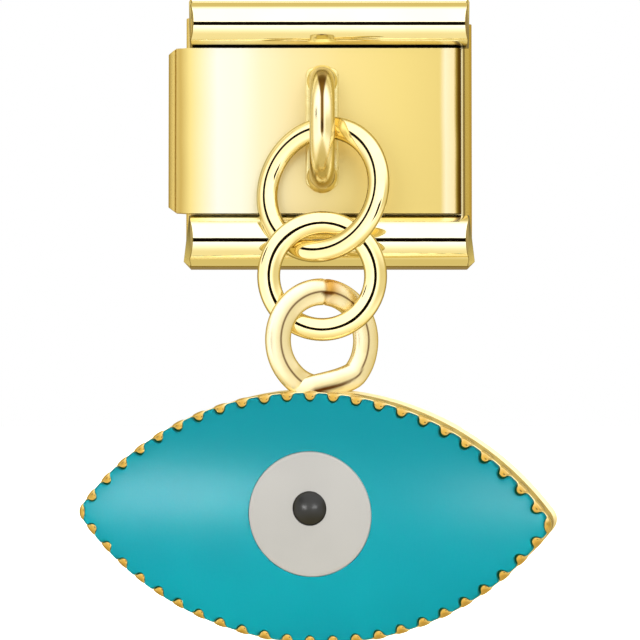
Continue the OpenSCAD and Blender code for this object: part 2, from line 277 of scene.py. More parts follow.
drawnSteel = goldPlating("drawnSteel", {
    "light": (0.74, 0.74, 0.76), "deep": (0.62, 0.62, 0.65),
    "cloudScale": 1.5, "brush": (3, 3, 0.15), "brushScale": 9, "ripple": 0.0004, "marks": 0.001,
    "rough": 0.22, "roughSpread": 0.14,
})
springSteel = goldPlating("springSteel", {
    "light": (0.46, 0.46, 0.50), "deep": (0.34, 0.33, 0.38),
    "cloudScale": 0.8, "brush": (0.08, 1, 2), "brushScale": 10, "ripple": 0.0004, "marks": 0.001,
    "rough": 0.28, "roughSpread": 0.15,
})


# The face plate is mirror gold with a painted reflection along its length: pale left of its middle, gold to
# the right, and painted shade at both ends
def platePaintedReflection(look):
    material, graph = newFinish("plateGold")
    spot = graph.place()
    across = graph.axis(spot, "X")
    cloud = graph.noise(spot, look["cloudScale"], 2)
    brush = graph.noise(graph.place(look["brush"]), look["brushScale"], 4)
    along = (across + cloud * look["sway"] - look["from"]) / look["width"]
    colour = graph.add("ShaderNodeValToRGB", {"stops": look["stops"]}, {0: along})
    finishWith(graph, {
        "Base Color": colour,
        "Metallic": 1.0,
        "Roughness": look["rough"] + graph.step(brush, 0.3, 0.7) * look["roughSpread"],
        "Normal": graph.bump(brush * look["marks"] + cloud * look["ripple"]),
    })
    return material


plateGold = platePaintedReflection({
    # Painted reflection and painted shade, left to right across the plate
    "stops": [
        (0.044, (0.564, 0.428, 0.137)),
        (0.066, (0.619, 0.464, 0.146)),
        (0.080, (0.564, 0.4, 0.109)),
        (0.111, (0.846, 0.692, 0.264)),
        (0.147, (0.883, 0.801, 0.473)),
        (0.201, (0.883, 0.874, 0.801)),
        (0.279, (0.901, 0.883, 0.746)),
        (0.348, (0.892, 0.819, 0.546)),
        (0.446, (0.892, 0.755, 0.41)),
        (0.613, (0.855, 0.701, 0.291)),
        (0.799, (0.81, 0.655, 0.237)),
        (0.931, (0.755, 0.601, 0.209)),
        (0.949, (0.91, 0.81, 0.546)),
        (0.978, (0.883, 0.728, 0.41)),
        (0.983, (0.42, 0.30, 0.06)),
        (0.991, (0.109, 0.055, 0.004)),
    ],
    "from": -5.5, "width": 10.2, "sway": 0.1, "cloudScale": 0.35,
    "brush": (0.05, 1, 2.2), "brushScale": 12, "marks": 0.00008, "ripple": 0.0004,
    "rough": 0.42, "roughSpread": 0.015,
})

# What every enamel shares: its fine specks, and how much the drift and specks show
glaze = {
    "speckScale": 26,
    "speckFrom": 0.66,
    "speckTo": 0.8,
    "roughDrift": 0.04,
    "speckPeel": 0.02,
}


# Opaque fired glass: a slow drift of tone and a faint orange-peel surface; where a look gives it, painted
# shade darker towards the top
def enamelGlass(name, look):
    material, graph = newFinish(name)
    spot = graph.place()
    drift = graph.noise(spot, look["driftScale"], 2)
    speck = graph.noise(spot, glaze["speckScale"], 2)
    tone = graph.step(drift, 0.3, 0.7)
    colour = graph.mixColour(tone, look["light"], look["deep"])
    flecks = graph.step(speck, glaze["speckFrom"], glaze["speckTo"], 0, look["speck"])
    colour = graph.mixColour(flecks, colour, look["fleck"])
    # Painted shade: darker towards the top
    if "upper" in look:
        rise = graph.step(graph.axis(spot, "Z"), look["upperShadeFrom"], look["upperShadeTo"])
        colour = graph.mixColour(rise, colour, look["upper"])
    finishWith(graph, {
        "Base Color": colour,
        "Roughness": look["rough"] + drift * glaze["roughDrift"],
        "Specular IOR Level": look["specular"],
        "Normal": graph.bump(drift * look["peel"] + speck * (look["peel"] * glaze["speckPeel"])),
    })
    return material


# The teal glass has painted shade, darker towards the top
tealEnamel = enamelGlass("tealEnamel", {
    "light": (0.001, 0.188, 0.228), "deep": (0.001, 0.170, 0.211), "fleck": (0.002, 0.198, 0.245),
    "upper": (0.001, 0.146, 0.180), "upperShadeFrom": -13.5, "upperShadeTo": -9.6,
    "driftScale": 0.25, "speck": 0.2, "rough": 0.28, "specular": 0.06, "peel": 0.004,
})
whiteEnamel = enamelGlass("whiteEnamel", {
    "light": (0.44, 0.44, 0.45), "deep": (0.42, 0.42, 0.43), "fleck": (0.46, 0.46, 0.465),
    "driftScale": 0.5, "speck": 0.3, "rough": 0.3, "specular": 0.12, "peel": 0.003,
})
blackCabochon = enamelGlass("blackCabochon", {
    "light": (0.005, 0.005, 0.006), "deep": (0.003, 0.003, 0.003), "fleck": (0.01, 0.01, 0.01),
    "driftScale": 2.0, "speck": 0.3, "rough": 0.30, "specular": 0.5, "peel": 0.001,
})


# The mesh helpers work in millimetres. This one joins rows of points into a skin, each
# row closed on itself; closed joins the last row to the first
def skin(rows, closed=False, capStart=False, capEnd=False):
    count = len(rows[0])
    points = [p for row in rows for p in row]
    faces = []
    for r in range(len(rows) if closed else len(rows) - 1):
        here = r * count
        there = (r + 1) % len(rows) * count
        for i in range(count):
            j = (i + 1) % count
            faces.append((here + i, here + j, there + j, there + i))
    if capStart:
        faces.append(tuple(reversed(range(count))))
    if capEnd:
        last = (len(rows) - 1) * count
        faces.append(tuple(range(last, last + count)))
    return points, faces


def joined(*parts):
    points = []
    faces = []
    for some, other in parts:
        start = len(points)
        points += some
        faces += [tuple(start + i for i in face) for face in other]
    return points, faces


# Makes a piece that stands for CAD nodes and rides on their body
def makePiece(name, shape, body, nodes, finish, place=Matrix.Identity(4),
              sharp=32, bevel=0, tints={}, edgeFinish=None):
    points, faces = shape
    mesh = bpy.data.meshes.new(name)
    mesh.from_pydata([(place @ Vector(p)) * mm for p in points], [], faces)
    for tint, amounts in tints.items():
        mesh.attributes.new(tint, "FLOAT", "POINT").data.foreach_set("value", amounts)
    bm = bmesh.new()
    bm.from_mesh(mesh)
    bmesh.ops.remove_doubles(bm, verts=bm.verts, dist=1e-7)
    bmesh.ops.recalc_face_normals(bm, faces=bm.faces)
    bm.to_mesh(mesh)
    bm.free()
    mesh.shade_smooth()
    mesh.set_sharp_from_angle(angle=math.radians(sharp))
    piece = bpy.data.objects.new(name, mesh)
    bpy.context.scene.collection.objects.link(piece)
    mesh.materials.append(finish)
    if bevel:
        edge = piece.modifiers.new("softEdges", "BEVEL")
        edge.width = bevel * mm
        edge.segments = 3
        edge.limit_method = "ANGLE"
        edge.angle_limit = math.radians(sharp)
        edge.harden_normals = True
        if edgeFinish:
            mesh.materials.append(edgeFinish)
            edge.material = 1
    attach(piece, body)
    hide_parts(*nodes)
    return piece


def middle(node):
    low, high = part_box(node)
    return (low + high) / 2 / mm


# Where a chain piece hangs: its middle, its turn and its outward lean
def hang(centre, turn, lean):
    tilt = Matrix.Rotation(math.radians(-lean), 4, "X") @ Matrix.Rotation(math.radians(-turn), 4, "Z")
    return Matrix.Translation(centre) @ tilt


# The radius of an oval wire's narrow ends, as a share of half its depth
ovalEnd = 0.8


# Oval wire section of four tangent arcs: (across, along the ring's axis)
def ovalSection(width, depth, count=40):
    a = width / 2
    b = depth / 2
    small = b * ovalEnd
    big = ((a - small) ** 2 + b * b - small * small) / (2 * (b - small))
    join = (a - small) / (big - small)
    section = []
    for i in range(count):
        angle = 2 * math.pi * i / count
        nx = math.cos(angle)
        ny = math.sin(angle)
        if abs(nx) > join:
            section.append((math.copysign(a - small, nx) + small * nx, small * ny))
        else:
            section.append((big * nx, big * ny - math.copysign(big - b, ny)))
    return section


def wireRing(radius, width, depth, steps=160):
    rows = []
    for k in range(steps):
        turn = 2 * math.pi * k / steps
        rows.append([
            ((radius + u) * math.cos(turn), v, (radius + u) * math.sin(turn))
            for u, v in ovalSection(width, depth)
        ])
    return skin(rows, closed=True)


print("studio")
camera = {
    "aim": (-0.07, -3.1, -6.33),
    "distance": 90,
    "elevation": -2,
    "halfFrame": 10.667,
    "sensor": 36,
}
rise = math.radians(camera["elevation"])
away = Vector((0, -math.cos(rise), math.sin(rise)))
eye = Vector(camera["aim"]) + away * camera["distance"]
cameraData = bpy.data.cameras.new("camera")
cameraData.lens = camera["sensor"] / 2 * camera["distance"] / camera["halfFrame"]
cameraData.sensor_width = camera["sensor"]
cameraData.clip_start = 0.001
cameraData.clip_end = 10
cameraObject = bpy.data.objects.new("camera", cameraData)
cameraObject.location = eye * mm
cameraObject.rotation_euler = (-away).to_track_quat("-Z", "Y").to_euler()
bpy.context.scene.collection.objects.link(cameraObject)
bpy.context.scene.camera = cameraObject
bpy.context.scene.view_settings.view_transform = "Standard"

# The studio round the object: a bright tent above, a warm floor below, plain walls at the
# sides, the right one golden, and an olive room behind with a brown strip at eye level.
# The camera's opening and one round black flag draw the dark lines along the polished
# rings. A pair of numbers says where a tone starts and where it is full
sky = {
    "above": (1.62, 1.60, 1.54),
    "below": (0.94, 0.82, 0.47),
    "left": (1.25, 1.22, 1.14),
    "right": (0.84, 0.77, 0.50),
    "behind": (0.70, 0.57, 0.23),
    "strip": (0.30, 0.21, 0.08),
    "dark": (0.004, 0.002, 0.001),
    "aboveFrom": (-0.85, -0.12),
    "wallHeight": (0.6, 0.1),
    "leftFrom": (-0.3, -0.75),
    "rightFrom": (0.2, 0.6),
    "behindFrom": (-0.3, 0.25),
    "stripDepth": (0.86, 0.96),
    "stripHeight": (0.32, 0.16),
    "openingHeight": (0.17, 0.13),
    "openingWidth": (0.19, 0.13),
    "openingDepth": (-0.5, -0.7),
    "flag": (-0.80, -0.489, 0.346),
    "flagEdge": (9.5, 6.5),
}


def studioSky():
    world = bpy.data.worlds.new("studio")
    bpy.context.scene.world = world
    world.use_nodes = True
    graph = Graph(world.node_tree)
    way = graph.add("ShaderNodeTexCoord", out="Generated")
    across = graph.axis(way, "X")
    depth = graph.axis(way, "Y")
    height = graph.axis(way, "Z")
    side = across.maths("ABSOLUTE")
    level = height.maths("ABSOLUTE")
    wall = graph.step(level, *sky["wallHeight"])
    tent = graph.mixColour(graph.step(height, *sky["aboveFrom"]), sky["below"], sky["above"])
    tent = graph.mixColour(graph.step(across, *sky["leftFrom"]) * wall, tent, sky["left"])
    tent = graph.mixColour(graph.step(across, *sky["rightFrom"]) * wall, tent, sky["right"])
    tent = graph.mixColour(graph.step(depth, *sky["behindFrom"]), tent, sky["behind"])
    strip = graph.step(depth, *sky["stripDepth"]) * graph.step(level, *sky["stripHeight"])
    tent = graph.mixColour(strip, tent, sky["strip"])
    opening = graph.step(level, *sky["openingHeight"]) * graph.step(side, *sky["openingWidth"])
    opening = opening * graph.step(depth, *sky["openingDepth"])
    tent = graph.mixColour(opening, tent, sky["dark"])
    product = {"operation": "DOT_PRODUCT"}
    near = graph.add("ShaderNodeVectorMath", product, {0: way, 1: sky["flag"]}, "Value")
    outer, inner = [math.cos(math.radians(angle)) for angle in sky["flagEdge"]]
    tent = graph.mixColour(graph.step(near, outer, inner), tent, sky["dark"])
    seen = graph.add("ShaderNodeLightPath", out="Is Camera Ray")
    shown = graph.mixColour(seen, tent, (1, 1, 1))
    glow = graph.add("ShaderNodeBackground", None, {"Color": shown, "Strength": 1.0})
    graph.add("ShaderNodeOutputWorld", None, {"Surface": glow})


studioSky()

# Small softboxes, each aimed at a few pieces alone; the glints only add highlights
glassPieces = bpy.data.collections.new("glassPieces")
wallPieces = bpy.data.collections.new("wallPieces")
tealPieces = bpy.data.collections.new("tealPieces")
lightDistance = 150
softLights = {
    "leftSoftbox": {"azimuth": -40, "elevation": -4.5, "size": (36, 17), "power": 0.15, "on": glassPieces},
    "rightSoftbox": {"azimuth": -3, "elevation": -3.5, "size": (34, 14), "power": 0.15, "on": glassPieces},
    "leftGlint": {"azimuth": -40, "elevation": -7, "size": (56, 28), "power": 17.4, "on": tealPieces},
    "rightGlint": {"azimuth": -2.5, "elevation": -8.5, "size": (34, 26), "power": 9.3, "on": tealPieces},
    "wallSoftbox": {"azimuth": 158, "elevation": 16, "size": (90, 80), "power": 0.05, "on": wallPieces},
}
charmMiddle = middle("charm_tray")
for name, light in softLights.items():
    turn = math.radians(light["azimuth"])
    lift = math.radians(light["elevation"])
    outward = Vector((math.sin(turn) * math.cos(lift), -math.cos(turn) * math.cos(lift), math.sin(lift)))
    lamp = bpy.data.lights.new(name, "AREA")
    lamp.shape = "RECTANGLE"
    lamp.size = light["size"][0] * mm
    lamp.size_y = light["size"][1] * mm
    lamp.energy = light["power"]
    lampObject = bpy.data.objects.new(name, lamp)
    lampObject.location = (charmMiddle + outward * lightDistance) * mm
    lampObject.rotation_euler = (-outward).to_track_quat("-Z", "Y").to_euler()
    lampObject.light_linking.receiver_collection = light["on"]
    lampObject.visible_diffuse = light["on"] is not tealPieces
    bpy.context.scene.collection.objects.link(lampObject)

floorMaterial, floorGraph = newFinish("paleFloor")
finishWith(floorGraph, {
    "Base Color": (0.9, 0.9, 0.9, 1),
    "Roughness": 0.9,
    "Emission Color": (1, 1, 1, 1),
    "Emission Strength": 1.0,
})
floorDrop = 0.25
floorReach = 1500
floorLevel = cadBox[0][2] / mm - floorDrop
corners = [(x * floorReach, y * floorReach) for x, y in ((-1, -1), (1, -1), (1, 1), (-1, 1))]
floorMesh = bpy.data.meshes.new("floor")
floorMesh.from_pydata([Vector((x, y, floorLevel)) * mm for x, y in corners], [], [(0, 1, 2, 3)])
floorMesh.materials.append(floorMaterial)
floor = bpy.data.objects.new("floor", floorMesh)
bpy.context.scene.collection.objects.link(floor)
floor.visible_glossy = False
floor.visible_diffuse = False


print("link")
for node, finish in {
    "front_sleeve": sleeveGold,
    "rear_sleeve": sleeveGold,
    "front_spring": springSteel,
    "rear_spring": springSteel,
    "upper_left_bow": drawnSteel,
    "upper_right_bow": drawnSteel,
    "lower_left_bow": drawnSteel,
    "lower_right_bow": drawnSteel,
}.items():
    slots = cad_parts[node].data.materials
    if slots:
        for index in range(len(slots)):
            slots[index] = finish
    else:
        slots.append(finish)

plate = {
    "roll": 0.22,
    "rollSteps": 10,
    "clip": (0.3, 0.22),
    "groove": 0.04,
    "grooveWidth": 0.05,
    "grooveShape": [(0.15, 0.3), (0.35, 0.9), (0.5, 1), (0.65, 0.9), (0.85, 0.3), (1, 0)],
    "columns": 24,
}


# The plate is drawn column by column: where it stands in X, how deep its front and back
# are, and how tall it is there
def plateShape():
    low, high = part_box("face_plate")
    left, right = low.x / mm, high.x / mm
    front, back = -low.y / mm, -high.y / mm
    half = (high.z - low.z) / 2 / mm
    roll = plate["roll"]
    quarter = [math.pi / 2 * k / plate["rollSteps"] for k in range(plate["rollSteps"] + 1)]
    columns = []
    for turn in quarter:
        columns.append((left + roll - roll * math.cos(turn), front - roll + roll * math.sin(turn)))
    start = left + roll
    for share, dip in plate["grooveShape"]:
        columns.append((start + share * plate["grooveWidth"], front - dip * plate["groove"]))
    start += plate["grooveWidth"]
    for k in range(1, plate["columns"]):
        columns.append((start + (right - roll - start) * k / plate["columns"], front))
    for turn in quarter:
        columns.append((right - roll + roll * math.sin(turn), front - roll + roll * math.cos(turn)))
    rows = []
    clipX, clipZ = plate["clip"]
    for x, depth in columns:
        tall = half - clipZ * max(0, 1 - (x - left) / clipX)
        rows.append([(x, -depth, -tall), (x, -depth, tall), (x, -back, tall), (x, -back, -tall)])
    return skin(rows, capStart=True, capEnd=True)


makePiece("facePlate", plateShape(), "link", ["face_plate"], plateGold, bevel=0.04)

rail = {
    "cut": 0.36,
    "skirt": 0.2,
    "steps": 96,
    "lip": {"upper_rail": 0.19, "lower_rail": 0.03},
    "corner": 0.2,
    "cornerFrom": 0.7,
    "insets": (0, 0.35, 0.7),
    "crevice": {"upper_rail": (3.26, 3.1), "lower_rail": (3.02, 2.92)},
    "creviceShadeFrom": 0.4,
}


# Half-round bar with a lip and a skirt down its outer side; up is 1 for the upper rail. Its side that faces
# the plate, in the recess between bar and plate, carries painted shade
def railShape(node, up):
    low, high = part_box(node)
    crest = -low.y / mm
    skirtDepth = -high.y / mm
    base = -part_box("face_plate")[1].y / mm
    half = (high.z - low.z) / 2 / mm
    lip = rail["lip"][node]
    radius = half - lip / 2
    centre = (high.z + low.z) / 2 / mm - up * lip / 2
    core = crest - radius
    top = half + lip / 2
    outline = [(base, -radius)]
    for k in range(rail["steps"] + 1):
        turn = -math.pi / 2 + math.pi * k / rail["steps"]
        outline.append((core + radius * math.cos(turn), radius * math.sin(turn)))
    outline += [(core - 0.01, top), (skirtDepth, top)]
    outline += [(skirtDepth, top - rail["skirt"]), (base, top - rail["skirt"])]
    shallow, deep = rail["crevice"][node]
    ends = [(low.x / mm, -1, inset) for inset in rail["insets"]]
    ends += [(high.x / mm, 1, inset) for inset in reversed(rail["insets"])]
    rows = []
    crevice = []
    for end, sign, inset in ends:
        row = []
        for depth, z in outline:
            cut = rail["cut"] * max(0, depth - base) / (crest - base)
            beyond = max(0, min(1, abs(z) / radius) - rail["cornerFrom"]) / (1 - rail["cornerFrom"])
            row.append((end - sign * (cut + rail["corner"] * beyond ** 2 + inset), -depth, centre + up * z))
            # Painted shade: darker deeper into the recess between the bar and the plate
            dark = (shallow - depth) / (shallow - deep)
            crevice.append(min(1, max(0, dark)) if z < -radius * rail["creviceShadeFrom"] else 0)
        rows.append(row)
    return skin(rows, capStart=True, capEnd=True), {"crevice": crevice}


for node, up in (("upper_rail", 1), ("lower_rail", -1)):
    shape, tints = railShape(node, up)
    # The bevel's faces get the painted dark edge line
    makePiece(node.split("_")[0] + "Rail", shape, "link", [node], railGold,
              sharp=25, bevel=0.05, tints=tints, edgeFinish=edgeShadeGold)

bail = {
    "wire": 0.83,
    "leg": 0.3,
    "legSteps": 4,
    "around": 90,
    # The painted dark reflection line along the bail's crest, the tint named groove: its half width, where
    # it ends, how it fans out and how soft its edge is
    "crestLineHalf": 0.055,
    "crestLineEnd": (-0.3, -0.5),
    "crestLineFan": (0.8, 1.8, 0.15),
    "crestLineSoft": 0.035,
    "shadeFan": (-0.35, -1.45, 0.22),
    "shadeSoft": 0.06,
    "shadeEnds": (1.45, 1.95),
    "shadeMost": (0.6, 0.8),
}

solder = {
    "half": 0.545,
    "top": 2.05,
    "bottom": -1.97,
    "corner": 0.24,
    "thick": 0.08,
    "edge": [(0, 0), (0, 0.6), (0.012, 0.8), (0.035, 0.93), (0.07, 1)],
    "footHeight": 0.42,
    "footFlare": 0.12,
    "footCurve": 1.6,
    "footSteps": 12,
    "footAround": 48,
    "footSway": (0.08, 0.6),
}


# How far a value is from start to full, kept between 0 and 1
def between(value, start, full):
    return min(1, max(0, (value - start) / (full - start)))


# How dark the painted dark reflection line along the crest is at a point: it fans out towards the top
def crestLineAmount(x, z):
    first, last, wide = bail["crestLineFan"]
    half = bail["crestLineHalf"] + wide * between(z, first, last) ** 1.5
    if z < bail["crestLineEnd"][0]:
        half = bail["crestLineHalf"] * between(z, bail["crestLineEnd"][1], bail["crestLineEnd"][0])
    return min(1, max(0, (half - abs(x)) / bail["crestLineSoft"] + 0.5)) if half > 0 else 0


# The lower end is shaded in a fan, and so are the wire's flanks at both ends
def shadedAmount(x, z):
    first, last, wide = bail["shadeFan"]
    inFan, atEnds = bail["shadeMost"]
    fan = wide * between(z, first, last)
    lower = min(1, max(0, (fan - abs(x)) / bail["shadeSoft"] + 0.5)) * inFan if fan > 0 else 0
    return max(lower, between(abs(z), *bail["shadeEnds"]) * atEnds)


# Where the plate's face, the bail's middle and its legs' distance from the middle are
def bailSeat():
    low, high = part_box("bail")
    return high.y / mm, (low.z + high.z) / 2 / mm, (high.z - low.z) / 2 / mm - bail["wire"] / 2


# A U of round wire that stands out from the plate
def bailShape():
    face, centre, radius = bailSeat()
    wire = bail["wire"] / 2
    legs = [face - bail["leg"] * k / bail["legSteps"] for k in range(bail["legSteps"])]
    spine = [(y, centre + radius, 0) for y in legs]
    for degrees in range(0, 181, 3):
        turn = math.radians(degrees)
        away = radius * math.sin(turn)
        spine.append((face - bail["leg"] - away, centre + radius * math.cos(turn), degrees))
    spine += [(y, centre - radius, 180) for y in reversed(legs)]
    rows = []
    groove = []
    shaded = []
    for y, z, degrees in spine:
        outY = -math.sin(math.radians(degrees))
        outZ = math.cos(math.radians(degrees))
        row = []
        for k in range(bail["around"]):
            angle = 2 * math.pi * k / bail["around"]
            across = wire * math.sin(angle)
            out = wire * math.cos(angle)
            row.append((across, y + out * outY, z + out * outZ))
            height = z + out * outZ - centre
            # The painted dark reflection line lies only on the wire's outer side
            groove.append(crestLineAmount(across, height) if out > 0 else 0)
            shaded.append(shadedAmount(across, height))
        rows.append(row)
    return skin(rows, capStart=True, capEnd=True), {"groove": groove, "shaded": shaded}


# Solder: a thin pad under the whole bail, drawn up round each foot
def solderShape():
    face, centre, radius = bailSeat()
    inner = bail["wire"] / 2
    corner = solder["corner"]
    rows = []
    for inset, rise in solder["edge"]:
        row = []
        for sideX, sideZ, start in ((1, 1, 0), (-1, 1, 90), (-1, -1, 180), (1, -1, 270)):
            reach = solder["top"] if sideZ > 0 else solder["bottom"]
            for k in range(9):
                turn = math.radians(start + 90 * k / 8)
                row.append((
                    sideX * (solder["half"] - corner) + (corner - inset) * math.cos(turn),
                    face - solder["thick"] * rise,
                    centre + reach - sideZ * corner + (corner - inset) * math.sin(turn),
                ))
        rows.append(row)
    parts = [skin(rows, capStart=True, capEnd=True)]
    height = solder["footHeight"]
    sway, swayTurn = solder["footSway"]
    for side in (1, -1):
        rows = []
        for k in range(solder["footAround"]):
            turn = 2 * math.pi * k / solder["footAround"]
            row = []
            for j in range(solder["footSteps"] + 1):
                share = j / solder["footSteps"]
                swell = solder["footFlare"] * (1 - share) ** solder["footCurve"]
                lean = 1 - sway + sway * math.cos(turn - swayTurn)
                row.append((inner + 0.01 + swell, height * share * lean))
            row += [(inner - 0.004, height * 0.9), (inner - 0.004, 0)]
            rows.append([
                (u * math.cos(turn), face - v, centre + side * radius + u * math.sin(turn)) for u, v in row
            ])
        parts.append(skin(rows, closed=True))
    return joined(*parts)


shape, tints = bailShape()
makePiece("bail", shape, "link", ["bail"], bailGold, tints=tints)
makePiece("bailSolder", solderShape(), "link", ["bail_solder"], solderGold, sharp=50)

print("rings")
rings = {
    "upper_ring": {"outer": 4.9, "wire": 0.75, "depth": 0.48, "turn": 28, "lean": 10},
    "lower_ring": {"outer": 4.25, "wire": 0.75, "depth": 0.48, "turn": 0, "lean": 0},
}
for node, ring in rings.items():
    which = node.split("_")[0]
    shape = wireRing((ring["outer"] - ring["wire"]) / 2, ring["wire"], ring["depth"])
    place = hang(middle(node), ring["turn"], ring["lean"])
    makePiece(which + "Ring", shape, "ring_" + which, [node], wireGold, place)

print("charm")
charm = {
    "turn": 13,
    "lean": -5,
    "height": 8.2,
    "arc": 9.75,
    "tip": 0.5,
    "back": -0.9,
    "backRound": 0.14,
    "backSteps": 6,
    "floor": -0.4,
    "seam": 0.0,
    "top": 0.8,
    "wall": 0.3,
    "strip": 0.1,
    "gap": 0.002,
}
arcCentre = charm["arc"] - charm["height"] / 2
tipX = math.sqrt((charm["arc"] - charm["tip"]) ** 2 - arcCentre ** 2)
halfAngle = math.asin(tipX / (charm["arc"] - charm["tip"]))
trayTilt = hang(Vector((0, 0, 0)), charm["turn"], charm["lean"])
trayMiddle = Vector((0, -(charm["back"] + charm["top"]) / 2, 0))
charmPlace = hang(middle("charm_tray") - trayTilt @ trayMiddle, charm["turn"], charm["lean"])

teeth = {
    "each": 23,
    "samples": 16,
    "tipSamples": 16,
    "half": 0.22,
    "tipHalf": 0.29,
    "proud": 0.04,
    "reach": 0.25,
    "tipReach": 0.14,
    "rise": 0.15,
    "stripRise": 0.015,
    "squareness": 2.4,
    "fullness": 0.55,
    # How much painted shade lies across a tooth, from its outer edge to its inner edge
    "belly": [0, 0.5, 0.9, 1, 1, 0.9, 0.3, 0, 0],
}


# Stations round the eye: a centre, the radius there, the way outwards, and how far
# through a tooth it is (0 between teeth, 1 at a tooth's middle)
def eyeStations():
    stations = []
    pitch = 2 * halfAngle * charm["arc"] / teeth["each"]
    for side in (1, -1):
        count = teeth["each"] * teeth["samples"]
        for k in range(count):
            turn = -halfAngle + 2 * halfAngle * (k + 0.5) / count
            offset = ((k + 0.5) / teeth["samples"] % 1 - 0.5) * pitch
            way = (side * math.sin(turn), side * math.cos(turn))
            stations.append(((0, -side * arcCentre), charm["arc"], way, offset))
        spread = math.pi / 2 - halfAngle
        for k in range(teeth["tipSamples"]):
            turn = halfAngle + 2 * spread * (k + 0.5) / teeth["tipSamples"]
            offset = ((k + 0.5) / teeth["tipSamples"] - 0.5) * 2 * spread * charm["tip"]
            way = (side * math.sin(turn), side * math.cos(turn))
            stations.append(((side * tipX, 0), charm["tip"], way, offset))
    return stations


stations = eyeStations()


def eyePoint(station, inset, depth):
    centre, radius, way, offset = station
    return (centre[0] + (radius - inset) * way[0], -depth, centre[1] + (radius - inset) * way[1])


def toothShare(station):
    half = teeth["tipHalf"] if station[1] == charm["tip"] else teeth["half"]
    across = abs(station[3]) / half
    return (1 - across ** teeth["squareness"]) ** teeth["fullness"] if across < 1 else 0


def toothReach(station):
    reach = teeth["tipReach"] if station[1] == charm["tip"] else teeth["reach"]
    return reach * toothShare(station)


def trayShape():
    rows = []
    for k in range(charm["backSteps"] + 1):
        turn = math.pi / 2 * k / charm["backSteps"]
        inset = charm["backRound"] * (1 - math.sin(turn))
        depth = charm["back"] + charm["backRound"] * (1 - math.cos(turn))
        rows.append([eyePoint(s, inset, depth) for s in stations])
    top = charm["top"] - 0.01
    for inset, depth in (
        (0, charm["seam"] - 0.03),
        (0.015, charm["seam"] - 0.01),
        (charm["strip"] + charm["gap"], charm["seam"] - 0.005),
        (charm["strip"] + charm["gap"], top),
        (charm["wall"], top),
        (charm["wall"], charm["floor"]),
    ):
        rows.append([eyePoint(s, inset, depth) for s in stations])
    return skin(rows, capStart=True, capEnd=True)


charmTray = makePiece("charmTray", trayShape(), "charm", ["charm_tray"], trayGold, charmPlace)
wallPieces.objects.link(charmTray)


# A thin strip round the wall, its top edge cut into teeth that are pressed over the glass
def bezelShape():
    top = charm["top"]
    steps = len(teeth["belly"]) - 1
    rows = []
    belly = []
    for s in stations:
        share = toothShare(s)
        outer = -teeth["proud"] * share
        inner = charm["strip"] + toothReach(s)
        rise = teeth["stripRise"] + teeth["rise"] * share ** 0.7
        row = [(0, charm["seam"]), (0, 0.45 * top), (outer / 2, top - 0.16), (outer, top - 0.04)]
        belly += [0] * len(row)
        for j in range(steps + 1):
            turn = math.pi * j / steps
            row.append((outer + (inner - outer) * (1 - math.cos(turn)) / 2, top + rise * math.sin(turn)))
            # Painted shade across the tooth's face
            belly.append(teeth["belly"][j] * share)
        row += [(charm["strip"], top - 0.02), (charm["strip"], charm["seam"])]
        belly += [0, 0]
        rows.append([eyePoint(s, inset, depth) for inset, depth in row])
    return skin(rows, closed=True), {"belly": belly}


shape, tints = bezelShape()
makePiece("toothBezel", shape, "charm", ["tooth_bezel"], toothGold, charmPlace,
          sharp=60, tints=tints)

glass = {
    "top": 1.53,
    "crossRound": 14,
    "longRound": 52,
    "lap": 0.02,
    "edgeRound": 0.1,
    "edgeSteps": 5,
    "edgeInTooth": 0.05,
    "smoothFrom": 0.48,
    "steps": 26,
    "under": 0.82,
    "disc": 2.035,
    "discX": 0.12,
    "discLift": 0.2,
    "pupil": 0.55,
    "pupilLift": 0.2,
    "pupilRise": 0.16,
    "pupilRim": 0.03,
    "pupilSteps": 17,
    "seat": 0.9,
    "rims": [(0, 0.03), (0.012, 0.008), (0.03, 0)],
    "rimGap": 0.006,
    "fit": 0.004,
}


def domeDepth(x, z):
    reach = glass["longRound"] - glass["crossRound"] + math.sqrt(glass["crossRound"] ** 2 - z * z)
    return glass["top"] - glass["longRound"] + math.sqrt(reach * reach - x * x)


def onDome(x, z):
    return (x, -domeDepth(x, z), z)


# Where the glass's edge is: under a tooth it stops inside the tooth
def glassEdge(station):
    reach = charm["strip"] + toothReach(station) - glass["edgeInTooth"]
    return glass["lap"] + max(0, reach - glass["lap"]) * toothShare(station) ** 0.5


# The teal glass: its outer edge is rolled, except under a tooth
def enamelShape():
    edge = [glassEdge(s) for s in stations]
    rows = [[eyePoint(s, e, glass["under"]) for s, e in zip(stations, edge)]]
    for k in range(glass["edgeSteps"] + 1):
        turn = math.pi / 2 * k / glass["edgeSteps"]
        row = []
        for s, e in zip(stations, edge):
            roll = glass["edgeRound"] * (1 - 0.9 * toothShare(s))
            x, y, z = eyePoint(s, e + roll * (1 - math.cos(turn)), 0)
            row.append((x, -(domeDepth(x, z) - roll * 0.9 * (1 - math.sin(turn))), z))
        rows.append(row)
    smooth = [eyePoint(s, glass["smoothFrom"], 0) for s in stations]
    circle = []
    for x, y, z in smooth:
        turn = math.atan2(z - glass["discLift"], x - glass["discX"])
        circleX = glass["discX"] + glass["disc"] * math.cos(turn)
        circle.append((circleX, glass["discLift"] + glass["disc"] * math.sin(turn)))
    for k in range(glass["steps"] + 1):
        share = k / glass["steps"]
        rows.append([
            onDome(x + (cx - x) * share, z + (cz - z) * share) for (x, y, z), (cx, cz) in zip(smooth, circle)
        ])
    inner = charm["wall"] + charm["gap"]
    rows.append([(cx, -charm["floor"], cz) for cx, cz in circle])
    rows.append([eyePoint(s, inner, charm["floor"]) for s in stations])
    rows.append([eyePoint(s, inner, glass["under"]) for s in stations])
    return skin(rows, closed=True)


enamel = makePiece("enamel", enamelShape(), "charm", ["enamel"], tealEnamel, charmPlace,
                   sharp=60)


